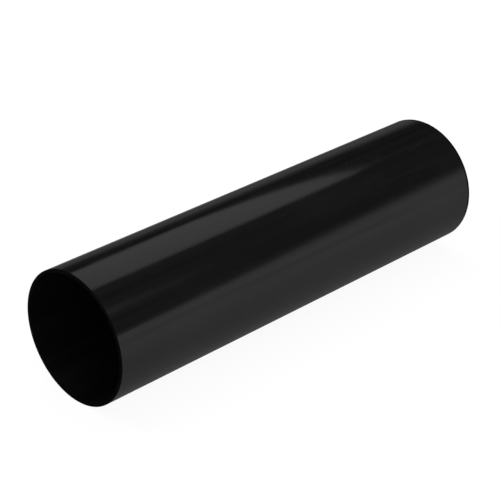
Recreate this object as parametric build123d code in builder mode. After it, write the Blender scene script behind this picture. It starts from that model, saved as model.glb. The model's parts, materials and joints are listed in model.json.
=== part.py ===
from build123d import *
import os

# A short length of round rainwater downpipe: one plain extruded tube with square sawn ends.
# It lies along X on the floor, which is the plane Z = 0, with its middle over the origin.

# Driving dimensions, in millimetres
outside_diameter = 68.0  # the size that sockets, couplers and wall clips are made for
wall_thickness = 1.8
pipe_length = 247.0
rim_round = 0.3  # the burr of the saw is scraped off every rim

outside_radius = outside_diameter / 2
bore_radius = outside_radius - wall_thickness

# The section is drawn square to the pipe's axis, which runs one outside radius above the floor.
first_end = Plane(
    origin=(-pipe_length / 2, 0, outside_radius),
    x_dir=(0, 1, 0),
    z_dir=(1, 0, 0),
)

with BuildPart() as downpipe:
    with BuildSketch(first_end) as wall_section:
        Circle(outside_radius)
        Circle(bore_radius, mode=Mode.SUBTRACT)
    extrude(amount=pipe_length)

    # Both rims of both sawn ends
    sawn_ends = downpipe.faces().filter_by(Plane.YZ)
    fillet(sawn_ends.edges(), radius=rim_round)

downpipe.part.label = "downpipe"

os.makedirs("parts", exist_ok=True)
export_step(downpipe.part, "parts/downpipe.step")
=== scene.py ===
import json
import math

import bmesh
import bpy
from bpy.props import FloatProperty, FloatVectorProperty, IntProperty, PointerProperty
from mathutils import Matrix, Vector


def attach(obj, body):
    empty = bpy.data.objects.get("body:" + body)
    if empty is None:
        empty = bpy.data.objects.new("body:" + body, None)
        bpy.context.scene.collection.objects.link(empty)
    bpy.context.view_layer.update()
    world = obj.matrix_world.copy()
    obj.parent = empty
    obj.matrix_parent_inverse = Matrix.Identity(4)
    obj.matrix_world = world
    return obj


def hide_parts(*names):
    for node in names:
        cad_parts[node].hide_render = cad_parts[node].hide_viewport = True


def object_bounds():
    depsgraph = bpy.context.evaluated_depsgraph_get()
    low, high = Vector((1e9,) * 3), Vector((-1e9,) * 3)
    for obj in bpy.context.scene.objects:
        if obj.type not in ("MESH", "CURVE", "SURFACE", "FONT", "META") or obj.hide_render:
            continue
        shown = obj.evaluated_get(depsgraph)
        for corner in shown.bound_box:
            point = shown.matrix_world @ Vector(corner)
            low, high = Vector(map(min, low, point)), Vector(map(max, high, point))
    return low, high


bl_info = {
    "name": "Round Downpipe",
    "version": (1, 0, 0),
    "blender": (4, 5, 0),
    "location": "3D View > Sidebar > Downpipe",
    "description": "A short length of round black plastic rainwater downpipe with its studio",
    "category": "Add Mesh",
}

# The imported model: the tube lies along X on the floor, with its middle over the origin
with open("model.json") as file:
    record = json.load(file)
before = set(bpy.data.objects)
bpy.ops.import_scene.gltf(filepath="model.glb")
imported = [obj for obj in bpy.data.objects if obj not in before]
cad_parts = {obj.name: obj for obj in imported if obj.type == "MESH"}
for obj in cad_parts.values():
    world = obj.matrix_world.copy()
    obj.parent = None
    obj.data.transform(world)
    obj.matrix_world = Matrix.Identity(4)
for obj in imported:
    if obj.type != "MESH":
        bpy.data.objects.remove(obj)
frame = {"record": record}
CAD_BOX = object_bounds()
MOUNTS = {mount["name"]: mount for mount in frame["record"]["mounts"]}
OUTSIDE_RADIUS = MOUNTS["outside"]["dims"]["r_mm"] / 1000
BORE_RADIUS = MOUNTS["bore"]["dims"]["r_mm"] / 1000
PIPE_LENGTH = CAD_BOX[1].x - CAD_BOX[0].x
STRAIGHT_LENGTH = MOUNTS["outside"]["dims"]["length_mm"] / 1000


# Settings that a user would change

class TubeSettings(bpy.types.PropertyGroup):
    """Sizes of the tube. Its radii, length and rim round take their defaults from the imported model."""

    outside_radius: FloatProperty(
        name="Outside radius",
        description="Radius of the pipe's outer face",
        default=OUTSIDE_RADIUS,
        min=0.01,
        subtype="DISTANCE",
        unit="LENGTH",
    )
    bore_radius: FloatProperty(
        name="Bore radius",
        description="Radius of the pipe's inner face",
        default=BORE_RADIUS,
        min=0.005,
        subtype="DISTANCE",
        unit="LENGTH",
    )
    length: FloatProperty(
        name="Length",
        description="From one sawn end to the other",
        default=PIPE_LENGTH,
        min=0.02,
        subtype="DISTANCE",
        unit="LENGTH",
    )
    rim_round: FloatProperty(
        name="Rim round",
        description="Radius left on each rim where the saw's burr is scraped off",
        default=(PIPE_LENGTH - STRAIGHT_LENGTH) / 2,
        min=0.0,
        subtype="DISTANCE",
        unit="LENGTH",
    )
    near_scraped_band: FloatProperty(
        name="Near scraped band",
        description="Width of the dull band that the scraper leaves beside the rims of the near end",
        default=0.0001,
        min=0.0,
        subtype="DISTANCE",
        unit="LENGTH",
    )
    far_scraped_band: FloatProperty(
        name="Far scraped band",
        description="Width of the dull band that the scraper leaves beside the rims of the far end",
        default=0.0011,
        min=0.0,
        subtype="DISTANCE",
        unit="LENGTH",
    )
    steps_round: IntProperty(
        name="Steps round",
        description="Number of faces round the pipe",
        default=320,
        min=24,
    )
    steps_along: IntProperty(
        name="Steps along",
        description="Number of faces from one end to the other",
        default=24,
        min=2,
    )
    steps_on_rim: IntProperty(
        name="Steps on rim",
        description="Number of faces across each rim's round",
        default=5,
        min=1,
    )


class FinishSettings(bpy.types.PropertyGroup):
    """Colours and gloss of the plastic."""

    plastic: FloatVectorProperty(
        name="Plastic",
        description="Colour of the black plastic",
        default=(0.003, 0.003, 0.0031),
        size=3,
        min=0.0,
        max=1.0,
        subtype="COLOR",
    )
    sawn: FloatVectorProperty(
        name="Sawn plastic",
        description="Colour of the plastic where the saw has cut it",
        default=(0.002, 0.002, 0.002),
        size=3,
        min=0.0,
        max=1.0,
        subtype="COLOR",
    )
    rubbed: FloatVectorProperty(
        name="Rubbed plastic",
        description="Colour of the plastic where the die, handling or the saw has rubbed it",
        default=(0.006, 0.006, 0.006),
        size=3,
        min=0.0,
        max=1.0,
        subtype="COLOR",
    )
    scratched: FloatVectorProperty(
        name="Scratched plastic",
        description="Colour of the hairline scratches",
        default=(0.015, 0.015, 0.015),
        size=3,
        min=0.0,
        max=1.0,
        subtype="COLOR",
    )
    dust: FloatVectorProperty(
        name="Dust",
        description="Colour of the specks of dust",
        default=(0.05, 0.05, 0.048),
        size=3,
        min=0.0,
        max=1.0,
        subtype="COLOR",
    )
    gloss_roughness: FloatProperty(
        name="Gloss roughness",
        description="Roughness of the pipe's outer face, as the extruder's die leaves it",
        default=0.15,
        min=0.0,
        max=1.0,
        subtype="FACTOR",
    )
    bore_roughness: FloatProperty(
        name="Bore roughness",
        description="Roughness of the pipe's inner face",
        default=0.22,
        min=0.0,
        max=1.0,
        subtype="FACTOR",
    )
    sawn_roughness: FloatProperty(
        name="Sawn roughness",
        description="Roughness of the sawn ends",
        default=0.7,
        min=0.0,
        max=1.0,
        subtype="FACTOR",
    )


class StageSettings(bpy.types.PropertyGroup):
    """Floor, light and camera."""

    camera_azimuth: FloatProperty(
        name="Camera azimuth",
        description="Direction from which the camera looks, round the pipe",
        default=math.radians(-44.72),
        subtype="ANGLE",
        unit="ROTATION",
    )
    camera_elevation: FloatProperty(
        name="Camera elevation",
        description="Height of the camera above the horizon",
        default=math.radians(27.42),
        subtype="ANGLE",
        unit="ROTATION",
    )
    camera_distance: FloatProperty(
        name="Camera distance",
        description="From the camera to the point that it looks at",
        default=0.8488,
        min=0.05,
        subtype="DISTANCE",
        unit="LENGTH",
    )
    camera_aim: FloatVectorProperty(
        name="Camera aim",
        description="Point that the camera looks at",
        default=(-0.00908, 0.0, 0.03818),
        size=3,
        subtype="TRANSLATION",
        unit="LENGTH",
    )
    focal_length: FloatProperty(
        name="Focal length",
        description="Lens of the camera in millimetres, on a sensor 36 mm wide",
        default=121.93,
        min=1.0,
    )
    floor_radius: FloatProperty(
        name="Floor radius",
        description="Radius of the round floor",
        default=8.0,
        min=0.5,
        subtype="DISTANCE",
        unit="LENGTH",
    )
    floor_grey: FloatProperty(
        name="Floor grey",
        description="Colour of the floor for the light that it gives back",
        default=0.53,
        min=0.0,
        max=1.0,
        subtype="FACTOR",
    )
    shadow_share: FloatProperty(
        name="Shadow share",
        description="Share of the floor's white that its lighting gives where the camera sees it",
        default=0.08,
        min=0.0,
        max=1.0,
        subtype="FACTOR",
    )
    overhead_level: FloatProperty(
        name="Overhead level",
        description="Light from straight above, as a share of plain level",
        default=0.45,
        min=0.0,
    )
    back_level: FloatProperty(
        name="Back level",
        description="Light from above and behind the pipe, as a share of plain level",
        default=0.3,
        min=0.0,
    )
    front_level: FloatProperty(
        name="Front level",
        description="Light from above and in front of the pipe, as a share of plain level",
        default=0.4,
        min=0.0,
    )
    # Level of the floor's painted reflection: a glow, with a painted shadow of the pipe, that only
    # reflections see
    painted_floor_level: FloatProperty(
        name="Painted floor reflection",
        description="Brightness of the open floor in front of the pipe, in reflections",
        default=0.64,
        min=0.0,
    )
    wall_level: FloatProperty(
        name="Wall level",
        description="Brightness of the low wall in front of the pipe, in reflections",
        default=0.593,
        min=0.0,
    )
    ceiling_level: FloatProperty(
        name="Ceiling level",
        description="Brightness of the dim ceiling of the studio, in reflections",
        default=0.085,
        min=0.0,
    )
    horizon_level: FloatProperty(
        name="Horizon level",
        description="Brightness of the low wall behind the pipe, in reflections",
        default=0.1455,
        min=0.0,
    )
    small_lamp_level: FloatProperty(
        name="Small lamp level",
        description="Brightness of the small soft lamp beside the camera, in reflections",
        default=0.453,
        min=0.0,
    )
    # The glowing card over the pipe is a painted highlight: only reflections see it and it lights
    # nothing
    highlight_near_level: FloatProperty(
        name="Highlight near level",
        description="Brightness of the softbox along its edge over the pipe, in reflections",
        default=0.628,
        min=0.0,
    )
    highlight_far_level: FloatProperty(
        name="Highlight far level",
        description="Brightness of the softbox along its other edge, behind the pipe, in reflections",
        default=0.379,
        min=0.0,
    )


# Node helpers

def new_node(tree, kind, label="", **values):
    """A node of that kind, with its settings and its input values."""
    node = tree.nodes.new(kind)
    node.label = label
    inputs = values.pop("inputs", {})
    for name, value in values.items():
        setattr(node, name, value)
    for name, value in inputs.items():
        node.inputs[name].default_value = value
    return node


def feed(tree, socket, value):
    """Sets an input to a number, or links it to a socket."""
    if isinstance(value, (int, float)):
        socket.default_value = value
    else:
        tree.links.new(value, socket)


def math_node(tree, operation, first, second=None):
    """A Math node whose inputs are sockets or numbers. Returns its output."""
    node = new_node(tree, "ShaderNodeMath", operation=operation)
    feed(tree, node.inputs[0], first)
    if second is not None:
        feed(tree, node.inputs[1], second)
    return node.outputs[0]


def join(tree, operation, values):
    """Joins sockets or numbers with Math nodes, one after the other. Returns the last output."""
    total, *others = values
    for value in others:
        total = math_node(tree, operation, total, value)
    return total


def ramp(tree, value, from_low, from_high, to_low, to_high, smooth=True):
    """A Map Range node. Its ranges are sockets or numbers. Returns its output."""
    node = new_node(
        tree,
        "ShaderNodeMapRange",
        interpolation_type="SMOOTHSTEP" if smooth else "LINEAR",
    )
    for name, limit in (
        ("Value", value),
        ("From Min", from_low),
        ("From Max", from_high),
        ("To Min", to_low),
        ("To Max", to_high),
    ):
        feed(tree, node.inputs[name], limit)
    return node.outputs["Result"]


def blend(tree, mask, low, high):
    """low where the mask is 0 and high where it is 1. Each is a socket or a number."""
    node = new_node(tree, "ShaderNodeMix", data_type="FLOAT")
    for name, value in (("Factor", mask), ("A", low), ("B", high)):
        feed(tree, node.inputs[name], value)
    return node.outputs["Result"]


# Sockets of a Mix node that mixes colours, by number, because their names aren't unique
MIX_FACTOR, MIX_LOW, MIX_HIGH = 0, 6, 7
MIX_RESULT = 2


def tint(tree, mask, low, high):
    """A colour that goes from low to high as the mask goes from 0 to 1. low may be a socket."""
    node = new_node(tree, "ShaderNodeMix", data_type="RGBA")
    tree.links.new(mask, node.inputs[MIX_FACTOR])
    node.inputs[MIX_HIGH].default_value = (*high, 1.0)
    if isinstance(low, bpy.types.NodeSocket):
        tree.links.new(low, node.inputs[MIX_LOW])
    else:
        node.inputs[MIX_LOW].default_value = (*low, 1.0)
    return node.outputs[MIX_RESULT]


def place_axes(tree, output):
    """X, Y and Z of a Texture Coordinate output."""
    place = new_node(tree, "ShaderNodeTexCoord")
    axes = new_node(tree, "ShaderNodeSeparateXYZ")
    tree.links.new(place.outputs[output], axes.inputs["Vector"])
    return axes.outputs["X"], axes.outputs["Y"], axes.outputs["Z"]


def new_material(name):
    """An empty node material and its tree."""
    material = bpy.data.materials.new(name)
    material.use_nodes = True
    material.node_tree.nodes.clear()
    return material, material.node_tree


def new_group(name, inputs, outputs):
    """An empty shader node group with number sockets. Returns it, what it is given and its results."""
    group = bpy.data.node_groups.new(name, "ShaderNodeTree")
    for socket, value in inputs.items():
        group.interface.new_socket(
            socket,
            in_out="INPUT",
            socket_type="NodeSocketFloat",
        ).default_value = value
    for socket in outputs:
        group.interface.new_socket(socket, in_out="OUTPUT", socket_type="NodeSocketFloat")
    start = new_node(group, "NodeGroupInput")
    end = new_node(group, "NodeGroupOutput")
    return group, start.outputs, end.inputs


# Marks on the plastic. Scales are in features to the metre, and a small first value of a stretch
# makes the features long along the pipe.

EVEN = (1.0, 1.0, 1.0)
LINE_STRETCH = (0.008, 1.0, 1.0)
SWELL_STRETCH = (0.35, 1.0, 1.0)
SWELL_SCALE = 45.0
RUB_STRETCH = (0.3, 1.0, 1.0)
RUB_SCALE = 55.0
RUB_EDGES = (0.45, 0.75)
DUST_SCALE = 420.0
DUST_EDGES = (0.03, 0.06)
DUST_SHARE = 0.2

# Each scratch lies in a cell of a flat pattern. Sizes are in metres, and lean is in radians.
SCRATCH_KINDS = (
    dict(label="long scratches", cell=0.031, reach=0.014, width=0.0001, lean=0.35, share=0.45),
    dict(label="short scratches", cell=0.009, reach=0.004, width=0.00008, lean=0.9, share=0.25),
    dict(label="cross scratches", cell=0.023, reach=0.007, width=0.00008, lean=1.5, share=0.3),
)
# A scratch leaves its straight line by up to this many times the square of the way along it
SCRATCH_BEND = 5.0
# The share of its reach from which a scratch fades
SCRATCH_FADE = 0.3


def noise(tree, vector, label, scale, detail=2.0, distortion=0.0):
    """A Noise Texture. Its scale is a socket or a number."""
    node = new_node(
        tree,
        "ShaderNodeTexNoise",
        label,
        inputs={"Detail": detail, "Distortion": distortion},
    )
    feed(tree, node.inputs["Scale"], scale)
    tree.links.new(vector, node.inputs["Vector"])
    return node.outputs["Fac"]


def stretched(tree, scale, turn=(0.0, 0.0, 0.0)):
    """Object coordinates, turned and then stretched."""
    place = new_node(tree, "ShaderNodeTexCoord")
    spun = new_node(tree, "ShaderNodeMapping", inputs={"Rotation": turn})
    pulled = new_node(tree, "ShaderNodeMapping", inputs={"Scale": scale})
    tree.links.new(place.outputs["Object"], spun.inputs["Vector"])
    tree.links.new(spun.outputs["Vector"], pulled.inputs["Vector"])
    return pulled.outputs["Vector"]


def unrolled(tree):
    """Object coordinates of the tube laid out flat: metres along it and metres round it."""
    x, y, z = place_axes(tree, "Object")
    height = math_node(tree, "SUBTRACT", z, OUTSIDE_RADIUS)
    turn = math_node(tree, "ARCTAN2", y, height)
    flat = new_node(tree, "ShaderNodeCombineXYZ")
    tree.links.new(x, flat.inputs["X"])
    tree.links.new(math_node(tree, "MULTIPLY", turn, OUTSIDE_RADIUS), flat.inputs["Y"])
    return flat.outputs["Vector"]


def die_lines_group():
    """Lines that the extruder's die draws along the pipe, fine and broad, and the swell of its wall."""
    name = "Die lines"
    if name in bpy.data.node_groups:
        return bpy.data.node_groups[name]
    group, given, result = new_group(
        name,
        {"Fine scale": 2300.0, "Broad scale": 520.0},
        ("Fine", "Broad", "Swell"),
    )
    along = stretched(group, LINE_STRETCH)
    fine = noise(group, along, "fine lines", given["Fine scale"], detail=2.0)
    broad = noise(group, along, "broad lines", given["Broad scale"], detail=1.0)
    slow = noise(group, stretched(group, SWELL_STRETCH), "slow swell", SWELL_SCALE, detail=0.0)
    for source, socket in ((fine, "Fine"), (broad, "Broad"), (slow, "Swell")):
        group.links.new(source, result[socket])
    return group


def scratch_layer(tree, place, label, cell, reach, width, lean, share):
    """Scratches, nearly straight, in a share of the cells. Returns their mask."""
    link = tree.links.new
    cells = new_node(
        tree,
        "ShaderNodeTexVoronoi",
        label,
        voronoi_dimensions="2D",
        inputs={"Scale": 1 / cell},
    )
    link(place, cells.inputs["Vector"])
    chance = new_node(tree, "ShaderNodeSeparateColor")
    link(cells.outputs["Color"], chance.inputs["Color"])
    offset = new_node(tree, "ShaderNodeVectorMath", operation="SUBTRACT")
    link(place, offset.inputs[0])
    link(cells.outputs["Position"], offset.inputs[1])
    spun = new_node(tree, "ShaderNodeVectorRotate", rotation_type="Z_AXIS")
    link(offset.outputs["Vector"], spun.inputs["Vector"])
    link(ramp(tree, chance.outputs["Red"], 0.0, 1.0, -lean, lean, smooth=False), spun.inputs["Angle"])
    axes = new_node(tree, "ShaderNodeSeparateXYZ")
    link(spun.outputs["Vector"], axes.inputs["Vector"])
    along, across = axes.outputs["X"], axes.outputs["Y"]
    # Each one bends a little, to one side or the other
    bend = ramp(tree, chance.outputs["Green"], 0.0, 1.0, -SCRATCH_BEND, SCRATCH_BEND, smooth=False)
    bend = math_node(tree, "MULTIPLY", bend, math_node(tree, "MULTIPLY", along, along))
    off = math_node(tree, "ABSOLUTE", math_node(tree, "SUBTRACT", across, bend))
    line = ramp(tree, off, 0.0, width, 1.0, 0.0)
    away = math_node(tree, "ABSOLUTE", along)
    fade = ramp(tree, away, SCRATCH_FADE * reach, reach, 1.0, 0.0)
    some = ramp(tree, chance.outputs["Blue"], 1.0 - share, 1.0 - share / 2, 0.0, 1.0, smooth=False)
    return math_node(tree, "MULTIPLY", math_node(tree, "MULTIPLY", line, fade), some)


def handling_group():
    """What handling leaves: hairline scratches, rubbed patches and specks of dust, each as a mask."""
    name = "Handling marks"
    if name in bpy.data.node_groups:
        return bpy.data.node_groups[name]
    group, given, result = new_group(
        name,
        {"Scratches": 1.0, "Rubbed": 1.0, "Dust": 1.0},
        ("Scratches", "Rubbed", "Dust"),
    )
    place = unrolled(group)
    layers = [scratch_layer(group, place, **kind) for kind in SCRATCH_KINDS]
    scratches = join(group, "MAXIMUM", layers)
    rub = noise(group, stretched(group, RUB_STRETCH), "rubbed", RUB_SCALE, detail=4.0, distortion=0.3)
    rub = ramp(group, rub, *RUB_EDGES, 0.0, 1.0)
    specks = new_node(group, "ShaderNodeTexVoronoi", "specks of dust", inputs={"Scale": DUST_SCALE})
    group.links.new(stretched(group, EVEN), specks.inputs["Vector"])
    dot = ramp(group, specks.outputs["Distance"], *DUST_EDGES, 1.0, 0.0)
    chance = new_node(group, "ShaderNodeSeparateColor")
    group.links.new(specks.outputs["Color"], chance.inputs["Color"])
    some = math_node(group, "GREATER_THAN", chance.outputs["Red"], 1.0 - DUST_SHARE)
    dust = math_node(group, "MULTIPLY", dot, some)
    for mask, socket in ((scratches, "Scratches"), (rub, "Rubbed"), (dust, "Dust")):
        group.links.new(math_node(group, "MULTIPLY", mask, given[socket]), result[socket])
    return group


# Plastic

PLASTIC_IOR = 1.5
# Heights are in millimetres
BUMP_DISTANCE = 0.001
BROAD_LINE_HEIGHT = 0.014
FINE_LINE_HEIGHT = 0.006
SCRATCH_HEIGHT = -0.006
DUST_HEIGHT = 0.02
# How much of the rubbed colour the broad lines bring
STREAK_EDGES = (0.42, 0.7)
STREAK_STRENGTH = 0.6
# What the fine lines and the marks add to the roughness
FINE_LINE_EDGES = (0.3, 0.7)
FINE_LINE_ROUGHNESS = (-0.02, 0.01)
MARK_ROUGHNESS = {"Rubbed": 0.03, "Scratches": 0.2, "Dust": 0.5}

# The teeth of the saw have crossed both ends in the same direction
TEETH_TURN = (0.25, 0.0, 0.0)
TEETH_STRETCH = (1.0, 0.03, 1.0)
TEETH_SCALE = 2200.0
TEETH_HEIGHT = 0.04
CRUMB_SCALE = 4200.0
CRUMB_HEIGHT = 0.02
CRUMB_EDGES = (0.22, 0.42)
SAWN_SPECULAR_LEVEL = 0.03


def bumped(tree, shader, layers):
    """Gives the shader the slopes of some layers, each a mask and its height in millimetres."""
    heights = [math_node(tree, "MULTIPLY", mask, height) for mask, height in layers]
    bump = new_node(tree, "ShaderNodeBump", inputs={"Strength": 1.0, "Distance": BUMP_DISTANCE})
    tree.links.new(join(tree, "ADD", heights), bump.inputs["Height"])
    tree.links.new(bump.outputs["Normal"], shader.inputs["Normal"])


def gloss_plastic(name, finish, roughness, swell, scratches, dust):
    """Black plastic as the die leaves it: glossy, with faint lines along it and marks of handling."""
    material, tree = new_material(name)
    link = tree.links.new
    output = new_node(tree, "ShaderNodeOutputMaterial")
    shader = new_node(tree, "ShaderNodeBsdfPrincipled", inputs={"IOR": PLASTIC_IOR})
    lines = new_node(tree, "ShaderNodeGroup", node_tree=die_lines_group()).outputs
    marks = new_node(
        tree,
        "ShaderNodeGroup",
        node_tree=handling_group(),
        inputs={"Scratches": scratches, "Rubbed": 1.0, "Dust": dust},
    ).outputs
    streak = ramp(tree, lines["Broad"], *STREAK_EDGES, 0.0, STREAK_STRENGTH)
    streak = math_node(tree, "MAXIMUM", marks["Rubbed"], streak)
    colour = tint(tree, streak, finish.plastic, finish.rubbed)
    colour = tint(tree, marks["Scratches"], colour, finish.scratched)
    colour = tint(tree, marks["Dust"], colour, finish.dust)
    link(colour, shader.inputs["Base Color"])
    smoothest, roughest = (roughness + change for change in FINE_LINE_ROUGHNESS)
    rough = [ramp(tree, lines["Fine"], *FINE_LINE_EDGES, smoothest, roughest, smooth=False)]
    for mark, amount in MARK_ROUGHNESS.items():
        rough.append(math_node(tree, "MULTIPLY", marks[mark], amount))
    link(join(tree, "ADD", rough), shader.inputs["Roughness"])
    bumped(
        tree,
        shader,
        (
            (lines["Swell"], swell),
            (lines["Broad"], BROAD_LINE_HEIGHT),
            (lines["Fine"], FINE_LINE_HEIGHT),
            (marks["Scratches"], SCRATCH_HEIGHT),
            (marks["Dust"], DUST_HEIGHT),
        ),
    )
    link(shader.outputs["BSDF"], output.inputs["Surface"])
    return material


def sawn_plastic(name, finish):
    """Black plastic where the saw has cut it: dull, with the straight marks of its teeth."""
    material, tree = new_material(name)
    output = new_node(tree, "ShaderNodeOutputMaterial")
    shader = new_node(
        tree,
        "ShaderNodeBsdfPrincipled",
        inputs={
            "IOR": PLASTIC_IOR,
            "Specular IOR Level": SAWN_SPECULAR_LEVEL,
            "Roughness": finish.sawn_roughness,
        },
    )
    across = stretched(tree, TEETH_STRETCH, TEETH_TURN)
    teeth = noise(tree, across, "marks of the teeth", TEETH_SCALE)
    crumbs = noise(tree, stretched(tree, EVEN), "crumbs", CRUMB_SCALE)
    scraped = ramp(tree, math_node(tree, "MULTIPLY", teeth, crumbs), *CRUMB_EDGES, 0.0, 1.0)
    tree.links.new(tint(tree, scraped, finish.sawn, finish.rubbed), shader.inputs["Base Color"])
    bumped(tree, shader, ((teeth, TEETH_HEIGHT), (crumbs, CRUMB_HEIGHT)))
    tree.links.new(shader.outputs["BSDF"], output.inputs["Surface"])
    return material


# Tube

OUTSIDE_SLOT, BORE_SLOT, SAWN_SLOT = range(3)


def wall_section(shape, tube):
    """The closed outline of the wall along the pipe, above its axis. Returns its edges."""
    half = tube.length / 2
    axis = tube.outside_radius
    corners = [
        shape.verts.new((x, 0.0, axis + radius))
        for x, radius in (
            (-half, tube.bore_radius),
            (half, tube.bore_radius),
            (half, tube.outside_radius),
            (-half, tube.outside_radius),
        )
    ]
    shape.faces.new(corners)
    bmesh.ops.bevel(
        shape,
        geom=corners,
        offset=tube.rim_round,
        offset_type="OFFSET",
        affect="VERTICES",
        segments=tube.steps_on_rim,
        profile=0.5,
        material=-1,
    )
    bmesh.ops.delete(shape, geom=list(shape.faces), context="FACES_ONLY")
    long_edges = [edge for edge in shape.edges if edge.calc_length() > tube.length / 2]
    bmesh.ops.subdivide_edges(shape, edges=long_edges, cuts=tube.steps_along - 1)
    return list(shape.edges)


def paint_faces(shape, tube, near, far):
    """Gives each face its finish: glossy walls from near to far along X, and dull ends beyond them."""
    # A face that is nearer than this to a wall's radius is part of that wall
    slack = tube.rim_round / 8
    for face in shape.faces:
        face.smooth = True
        middle = face.calc_center_median()
        radius = math.hypot(middle.y, middle.z - tube.outside_radius)
        on_wall = near < middle.x < far
        if on_wall and radius > tube.outside_radius - slack:
            face.material_index = OUTSIDE_SLOT
        elif on_wall and radius < tube.bore_radius + slack:
            face.material_index = BORE_SLOT
        else:
            face.material_index = SAWN_SLOT


def order_faces(shape):
    """Puts the faces in the order of their points, because a spin leaves them in another each run."""
    shape.verts.index_update()
    total = len(shape.verts)

    def place(face):
        # The lowest of its four points decides, and where two faces share that, the sum does
        numbers = [vert.index for vert in face.verts]
        return min(numbers) * 4 * total + sum(numbers)

    shape.faces.sort(key=place)


def tube_mesh(tube):
    """The wall's outline turned once round the pipe's axis."""
    shape = bmesh.new()
    outline = wall_section(shape, tube)
    bmesh.ops.spin(
        shape,
        geom=outline,
        cent=(0.0, 0.0, tube.outside_radius),
        axis=(1.0, 0.0, 0.0),
        dvec=(0.0, 0.0, 0.0),
        angle=2 * math.pi,
        steps=tube.steps_round,
        use_merge=True,
    )
    # Where the gloss ends and the scraped bands begin
    straight = tube.length / 2 - tube.rim_round
    near = tube.near_scraped_band - straight
    far = straight - tube.far_scraped_band
    for x in (near, far):
        bmesh.ops.bisect_plane(
            shape,
            geom=list(shape.verts) + list(shape.edges) + list(shape.faces),
            plane_co=(x, 0.0, 0.0),
            plane_no=(1.0, 0.0, 0.0),
        )
    bmesh.ops.recalc_face_normals(shape, faces=shape.faces)
    paint_faces(shape, tube, near, far)
    order_faces(shape)
    mesh = bpy.data.meshes.new("downpipe_tube")
    shape.to_mesh(mesh)
    shape.free()
    return mesh


class DOWNPIPE_OT_tube(bpy.types.Operator):
    """Makes the pipe: one tube with a glossy outside, a glossy bore and sawn ends"""

    bl_idname = "downpipe.tube"
    bl_label = "Make the Tube"
    bl_options = {"REGISTER", "UNDO"}

    def execute(self, context):
        tube = context.scene.downpipe_tube
        finish = context.scene.downpipe_finish
        if tube.outside_radius - tube.bore_radius < 2 * tube.rim_round:
            raise ValueError("The wall is too thin for the rounds on its rims")
        mesh = tube_mesh(tube)
        outside = gloss_plastic(
            "Gloss black outside",
            finish,
            finish.gloss_roughness,
            swell=0.03,
            scratches=1.0,
            dust=1.0,
        )
        bore = gloss_plastic(
            "Gloss black bore",
            finish,
            finish.bore_roughness,
            swell=0.06,
            scratches=0.4,
            dust=0.6,
        )
        # In the order of the slots' numbers
        for material in (outside, bore, sawn_plastic("Sawn black end", finish)):
            mesh.materials.append(material)
        piece = bpy.data.objects.new("downpipe_tube", mesh)
        context.scene.collection.objects.link(piece)
        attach(piece, "root")
        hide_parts("downpipe")
        return {"FINISHED"}


# Studio. The camera sees it white. The gloss shows a floor with a painted reflection and a painted
# shadow of the pipe, a glowing card that paints a highlight where a softbox would hang, and walls
# and a ceiling, which put the bands on the pipe. Places are in pipe radii, and Y runs away from the
# front.

# The part of the shadow share that the floor's glow leaves to the lamps
GLOW_GAP = 0.8

# How bright the floor glows in reflections, by its place across the pipe: -1 far in front, 0 under
# the pipe and 1 far behind. It is -0.5 or 0.5 at a distance of FLOOR_HALF_WAY. This glow is a painted
# reflection with a painted shadow of the pipe. It is dim under the pipe and grows pale on both sides
# as far as the place where the painted shadow ends. Painted shade then dims it again behind the pipe.
FLOOR_HALF_WAY = 2.4
PAINTED_SHADOW_UNDER_PIPE = 0.1
PAINTED_SHADOW_ENDS = 0.9
PAINTED_SHADE_BEHIND_PLACES = (0.5, 0.8)
PAINTED_SHADE_FAR_BEHIND = 0.2
# Painted shade along the pipe: the floor's glow grows darker towards the far end, between these places
# and by these shares of its level
FLOOR_ALONG = (-4.0, 12.0)
PAINTED_SHADE_ALONG_SHARES = (1.09, 0.735)
FLOOR_SIDES = 128

# The glowing card over the pipe, where a softbox would hang, by its corners. Only reflections see it and
# it lights nothing: it paints the highlight band on the pipe.
HIGHLIGHT_CARD_LOW = (-6.84, 0.05, 7.4)
HIGHLIGHT_CARD_HIGH = (6.84, 7.9, 7.4)
HIGHLIGHT_CARD_SLANT = -1.15

# The camera sees as far as this, in metres, and its sensor's width is in millimetres
CLIP_END = 100.0
SENSOR_WIDTH = 36.0


def rays(tree):
    """Masks of how a surface is seen: by the camera, straight or through glass, and in gloss."""
    path = new_node(tree, "ShaderNodeLightPath")
    seen = math_node(
        tree,
        "MAXIMUM",
        path.outputs["Is Camera Ray"],
        path.outputs["Is Transmission Ray"],
    )
    return seen, path.outputs["Is Glossy Ray"]


def painted_floor_reflection(tree, stage):
    """The floor's painted reflection: a painted shadow of the pipe by it, pale in front of it, painted
    shade far behind it and towards the far end.
    """
    x, y, _ = place_axes(tree, "Object")
    spread = math_node(
        tree,
        "ADD",
        math_node(tree, "ABSOLUTE", y),
        FLOOR_HALF_WAY * OUTSIDE_RADIUS,
    )
    side = math_node(tree, "DIVIDE", y, spread)
    away = math_node(tree, "ABSOLUTE", side)
    # The painted shadow of the pipe: darkest under it and gone on both sides
    across = ramp(tree, away, 0.0, PAINTED_SHADOW_ENDS, PAINTED_SHADOW_UNDER_PIPE, 1.0)
    # Painted shade far behind the pipe
    behind = ramp(tree, side, *PAINTED_SHADE_BEHIND_PLACES, 1.0, PAINTED_SHADE_FAR_BEHIND)
    # Painted shade that darkens the glow towards the far end
    near, far = (place * OUTSIDE_RADIUS for place in FLOOR_ALONG)
    near_level, far_level = (share * stage.painted_floor_level for share in PAINTED_SHADE_ALONG_SHARES)
    along = ramp(tree, x, near, far, near_level, far_level, smooth=False)
    return join(tree, "MULTIPLY", (across, behind, along))


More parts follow.
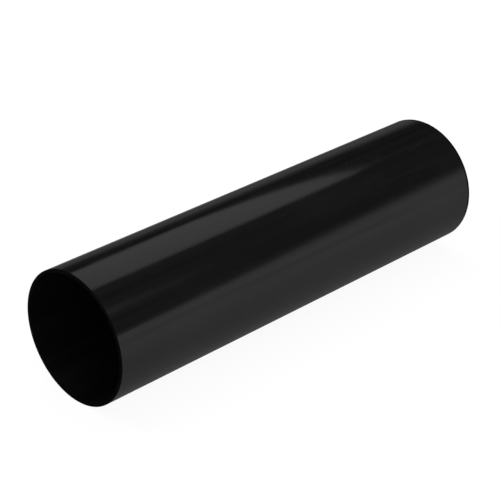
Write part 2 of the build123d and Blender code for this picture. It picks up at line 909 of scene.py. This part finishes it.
def floor_material(stage):
    """A pale floor that shows white to the camera and keeps a share of its shadows. In reflections it
    shows a painted reflection with a painted shadow of the pipe.
    """
    material, tree = new_material("Pale floor")
    link = tree.links.new
    output = new_node(tree, "ShaderNodeOutputMaterial")
    seen, in_gloss = rays(tree)
    # The lamps add a little more than the gap, so that the open floor is white
    white = math_node(tree, "MULTIPLY", seen, 1.0 - GLOW_GAP * stage.shadow_share)
    # In reflections the floor shows its painted reflection, with the painted shadow of the pipe, in
    # place of the light that falls on it
    painted_reflection = math_node(tree, "MULTIPLY", in_gloss, painted_floor_reflection(tree, stage))
    grey = blend(tree, seen, stage.floor_grey, stage.shadow_share)
    matt_grey = math_node(tree, "MULTIPLY", grey, math_node(tree, "SUBTRACT", 1.0, in_gloss))
    matt = new_node(tree, "ShaderNodeBsdfDiffuse")
    glow = new_node(tree, "ShaderNodeEmission")
    both = new_node(tree, "ShaderNodeAddShader")
    link(matt_grey, matt.inputs["Color"])
    link(math_node(tree, "ADD", white, painted_reflection), glow.inputs["Strength"])
    link(matt.outputs["BSDF"], both.inputs[0])
    link(glow.outputs["Emission"], both.inputs[1])
    link(both.outputs["Shader"], output.inputs["Surface"])
    material.cycles.emission_sampling = "NONE"
    return material


def stage_piece(scene, name, shape, material, only_in_gloss=False):
    """Makes an object of the studio from its finished shape and its material."""
    mesh = bpy.data.meshes.new(name)
    shape.to_mesh(mesh)
    shape.free()
    mesh.materials.append(material)
    piece = bpy.data.objects.new(name, mesh)
    piece.visible_camera = not only_in_gloss
    piece.visible_diffuse = not only_in_gloss
    piece.visible_shadow = not only_in_gloss
    scene.collection.objects.link(piece)


def make_floor(scene, stage):
    """A round floor."""
    shape = bmesh.new()
    bmesh.ops.create_circle(shape, cap_ends=True, segments=FLOOR_SIDES, radius=stage.floor_radius)
    stage_piece(scene, "studio_floor", shape, floor_material(stage))


def highlight_glow_material(stage, near, far):
    """A glow that fades from one edge of the card to the other: a painted highlight that only
    reflections see.
    """
    material, tree = new_material("Painted highlight glow")
    output = new_node(tree, "ShaderNodeOutputMaterial")
    glow = new_node(tree, "ShaderNodeEmission")
    _, y, _ = place_axes(tree, "Object")
    level = ramp(
        tree,
        y,
        near,
        far,
        stage.highlight_near_level,
        stage.highlight_far_level,
        smooth=False,
    )
    tree.links.new(level, glow.inputs["Strength"])
    tree.links.new(glow.outputs["Emission"], output.inputs["Surface"])
    material.cycles.emission_sampling = "NONE"
    return material


def make_highlight_card(scene, stage):
    """A glowing card where a softbox would hang over the pipe. Only reflections see it and it lights
    nothing, so the highlight band that it puts on the pipe is painted.
    """
    low = Vector(HIGHLIGHT_CARD_LOW) * OUTSIDE_RADIUS
    high = Vector(HIGHLIGHT_CARD_HIGH) * OUTSIDE_RADIUS
    shape = bmesh.new()
    bmesh.ops.create_grid(shape, x_segments=1, y_segments=1, size=0.5)
    bmesh.ops.scale(shape, vec=(high.x - low.x, high.y - low.y, 1.0), verts=shape.verts)
    bmesh.ops.translate(shape, vec=(low + high) / 2, verts=shape.verts)
    corner = max(shape.verts, key=lambda vert: vert.co.x + vert.co.y)
    slant = (HIGHLIGHT_CARD_SLANT * OUTSIDE_RADIUS, 0.0, 0.0)
    bmesh.ops.translate(shape, vec=slant, verts=[corner])
    glow = highlight_glow_material(stage, low.y, high.y)
    # Only reflections see it, and it lights nothing
    stage_piece(scene, "painted_highlight_card", shape, glow, only_in_gloss=True)


def direction(azimuth, elevation):
    """The unit vector towards that azimuth and elevation, in radians. Azimuth 0 is straight in front."""
    return Vector(
        (
            math.sin(azimuth) * math.cos(elevation),
            -math.cos(azimuth) * math.cos(elevation),
            math.sin(elevation),
        )
    )


def make_lamp(scene, name, level, azimuth, elevation, spread):
    """A broad, distant lamp. At a level of 1 it lights a face turned to it as bright as its colour."""
    data = bpy.data.lights.new(name, "SUN")
    data.energy = level * math.pi
    data.angle = math.radians(spread)
    lamp = bpy.data.objects.new(name, data)
    towards = direction(math.radians(azimuth), math.radians(elevation))
    lamp.rotation_mode = "QUATERNION"
    lamp.rotation_quaternion = towards.to_track_quat("Z", "Y")
    lamp.location = towards
    lamp.visible_glossy = False
    scene.collection.objects.link(lamp)


# Walls, ceiling and small lamp, by the direction in which the pipe sees them. A name with ALONG
# holds the part of X, Y or Z over which something changes, and the other pairs what it changes
# from and to. Their places and levels, and those of the glowing card that paints the highlight,
# were fitted to the photo's bands and rounded.

CEILING_ALONG_Y = (-0.4, 0.75)
CEILING_BACK_SHARE = 0.2
HORIZON_ALONG_X = (0.5, 0.75)
HORIZON_RISE = (-0.103, 0.112)
HORIZON_ALONG_Z = (0.074, 0.336)
HORIZON_ALONG_Y = (0.1, 0.5)
SMALL_LAMP_AT = (0.5, -0.55, 0.676)
SMALL_LAMP_RADIUS = 0.15
WALL_TOP_ALONG_X = (0.55, 0.7)
WALL_TOP_STARTS = (0.144, 0.0885)
WALL_TOP_ENDS = (0.1865, 0.372)
WALL_ALONG_Y = (-0.3, 0.1)
WALL_LEVEL_ALONG_X = (0.45, 0.75)
WALL_LEVEL_CHANGE = 0.126
WALL_LEVEL_UPWARDS = 0.34


def front_wall(tree, x, y, z, stage):
    """The low bright wall in front of the pipe: its mask and its level, by direction."""
    top_start = ramp(tree, x, *WALL_TOP_ALONG_X, *WALL_TOP_STARTS, smooth=False)
    top_end = ramp(tree, x, *WALL_TOP_ALONG_X, *WALL_TOP_ENDS, smooth=False)
    below = ramp(tree, z, top_start, top_end, 1.0, 0.0)
    front = ramp(tree, y, *WALL_ALONG_Y, 1.0, 0.0)
    across = ramp(
        tree,
        x,
        *WALL_LEVEL_ALONG_X,
        stage.wall_level + WALL_LEVEL_CHANGE,
        stage.wall_level - WALL_LEVEL_CHANGE,
        smooth=False,
    )
    upwards = math_node(tree, "MULTIPLY", z, WALL_LEVEL_UPWARDS)
    mask = math_node(tree, "MULTIPLY", below, front)
    return mask, math_node(tree, "ADD", across, upwards)


def back_wall(tree, x, y, z):
    """The mask of the low wall behind the pipe, by direction."""
    rise = ramp(tree, x, *HORIZON_ALONG_X, *HORIZON_RISE, smooth=False)
    above = math_node(tree, "SUBTRACT", z, rise)
    low = ramp(tree, above, *HORIZON_ALONG_Z, 1.0, 0.0)
    return math_node(tree, "MULTIPLY", low, ramp(tree, y, *HORIZON_ALONG_Y, 0.0, 1.0))


def small_lamp(tree):
    """The mask of the small soft lamp beside the camera, by direction."""
    place = new_node(tree, "ShaderNodeTexCoord")
    offset = new_node(tree, "ShaderNodeVectorMath", "small lamp", operation="DISTANCE")
    offset.inputs[1].default_value = SMALL_LAMP_AT
    tree.links.new(place.outputs["Generated"], offset.inputs[0])
    return ramp(tree, offset.outputs["Value"], 0.0, SMALL_LAMP_RADIUS, 1.0, 0.0)


def make_world(scene, stage):
    """A dim room with a bright low wall in front of the pipe, and white behind it for the camera."""
    world = bpy.data.worlds.new("Studio room")
    world.use_nodes = True
    tree = world.node_tree
    tree.nodes.clear()
    output = new_node(tree, "ShaderNodeOutputWorld")
    room = new_node(tree, "ShaderNodeBackground", inputs={"Color": (1.0, 1.0, 1.0, 1.0)})
    x, y, z = place_axes(tree, "Generated")
    back_of_ceiling = CEILING_BACK_SHARE * stage.ceiling_level
    level = ramp(tree, y, *CEILING_ALONG_Y, stage.ceiling_level, back_of_ceiling)
    level = blend(tree, back_wall(tree, x, y, z), level, stage.horizon_level)
    level = blend(tree, small_lamp(tree), level, stage.small_lamp_level)
    in_front, wall = front_wall(tree, x, y, z, stage)
    level = blend(tree, in_front, level, wall)
    seen, _ = rays(tree)
    tree.links.new(blend(tree, seen, level, 1.0), room.inputs["Strength"])
    tree.links.new(room.outputs["Background"], output.inputs["Surface"])
    scene.world = world


def make_camera(scene, stage):
    """The camera of the photo."""
    data = bpy.data.cameras.new("Photo view")
    data.lens = stage.focal_length
    data.sensor_width = SENSOR_WIDTH
    data.clip_end = CLIP_END
    camera = bpy.data.objects.new("Photo view", data)
    back = direction(stage.camera_azimuth, stage.camera_elevation)
    camera.location = Vector(stage.camera_aim) + back * stage.camera_distance
    camera.rotation_mode = "QUATERNION"
    camera.rotation_quaternion = (-back).to_track_quat("-Z", "Y")
    scene.collection.objects.link(camera)
    scene.camera = camera


class DOWNPIPE_OT_stage(bpy.types.Operator):
    """Makes the floor, the light and the camera of the studio"""

    bl_idname = "downpipe.stage"
    bl_label = "Make the Stage"
    bl_options = {"REGISTER", "UNDO"}

    def execute(self, context):
        scene = context.scene
        stage = scene.downpipe_stage
        make_floor(scene, stage)
        make_highlight_card(scene, stage)
        # Azimuth, elevation and spread are in degrees
        for name, level, azimuth, elevation, spread in (
            ("Overhead light", stage.overhead_level, 0.0, 90.0, 80.0),
            ("Back light", stage.back_level, 180.0, 55.0, 60.0),
            ("Front light", stage.front_level, -30.0, 30.0, 70.0),
        ):
            make_lamp(scene, name, level, azimuth, elevation, spread)
        make_world(scene, stage)
        make_camera(scene, stage)
        scene.view_settings.view_transform = "Standard"
        return {"FINISHED"}


class DOWNPIPE_PT_panel(bpy.types.Panel):
    """Lists the steps that make the pipe and its stage"""

    bl_idname = "DOWNPIPE_PT_panel"
    bl_label = "Round Downpipe"
    bl_space_type = "VIEW_3D"
    bl_region_type = "UI"
    bl_category = "Downpipe"

    def draw(self, context):
        scene = context.scene
        for heading, settings, operator in (
            ("Tube", scene.downpipe_tube, "downpipe.tube"),
            ("Finish", scene.downpipe_finish, None),
            ("Stage", scene.downpipe_stage, "downpipe.stage"),
        ):
            box = self.layout.box()
            box.label(text=heading)
            for name in settings.__annotations__:
                box.prop(settings, name)
            if operator:
                box.operator(operator)


CLASSES = (
    TubeSettings,
    FinishSettings,
    StageSettings,
    DOWNPIPE_OT_tube,
    DOWNPIPE_OT_stage,
    DOWNPIPE_PT_panel,
)


def register():
    for cls in CLASSES:
        bpy.utils.register_class(cls)
    bpy.types.Scene.downpipe_tube = PointerProperty(type=TubeSettings)
    bpy.types.Scene.downpipe_finish = PointerProperty(type=FinishSettings)
    bpy.types.Scene.downpipe_stage = PointerProperty(type=StageSettings)


def unregister():
    del bpy.types.Scene.downpipe_stage
    del bpy.types.Scene.downpipe_finish
    del bpy.types.Scene.downpipe_tube
    for cls in reversed(CLASSES):
        bpy.utils.unregister_class(cls)


def main():
    register()
    bpy.ops.downpipe.stage()
    bpy.ops.downpipe.tube()


if __name__ == "__main__":
    main()
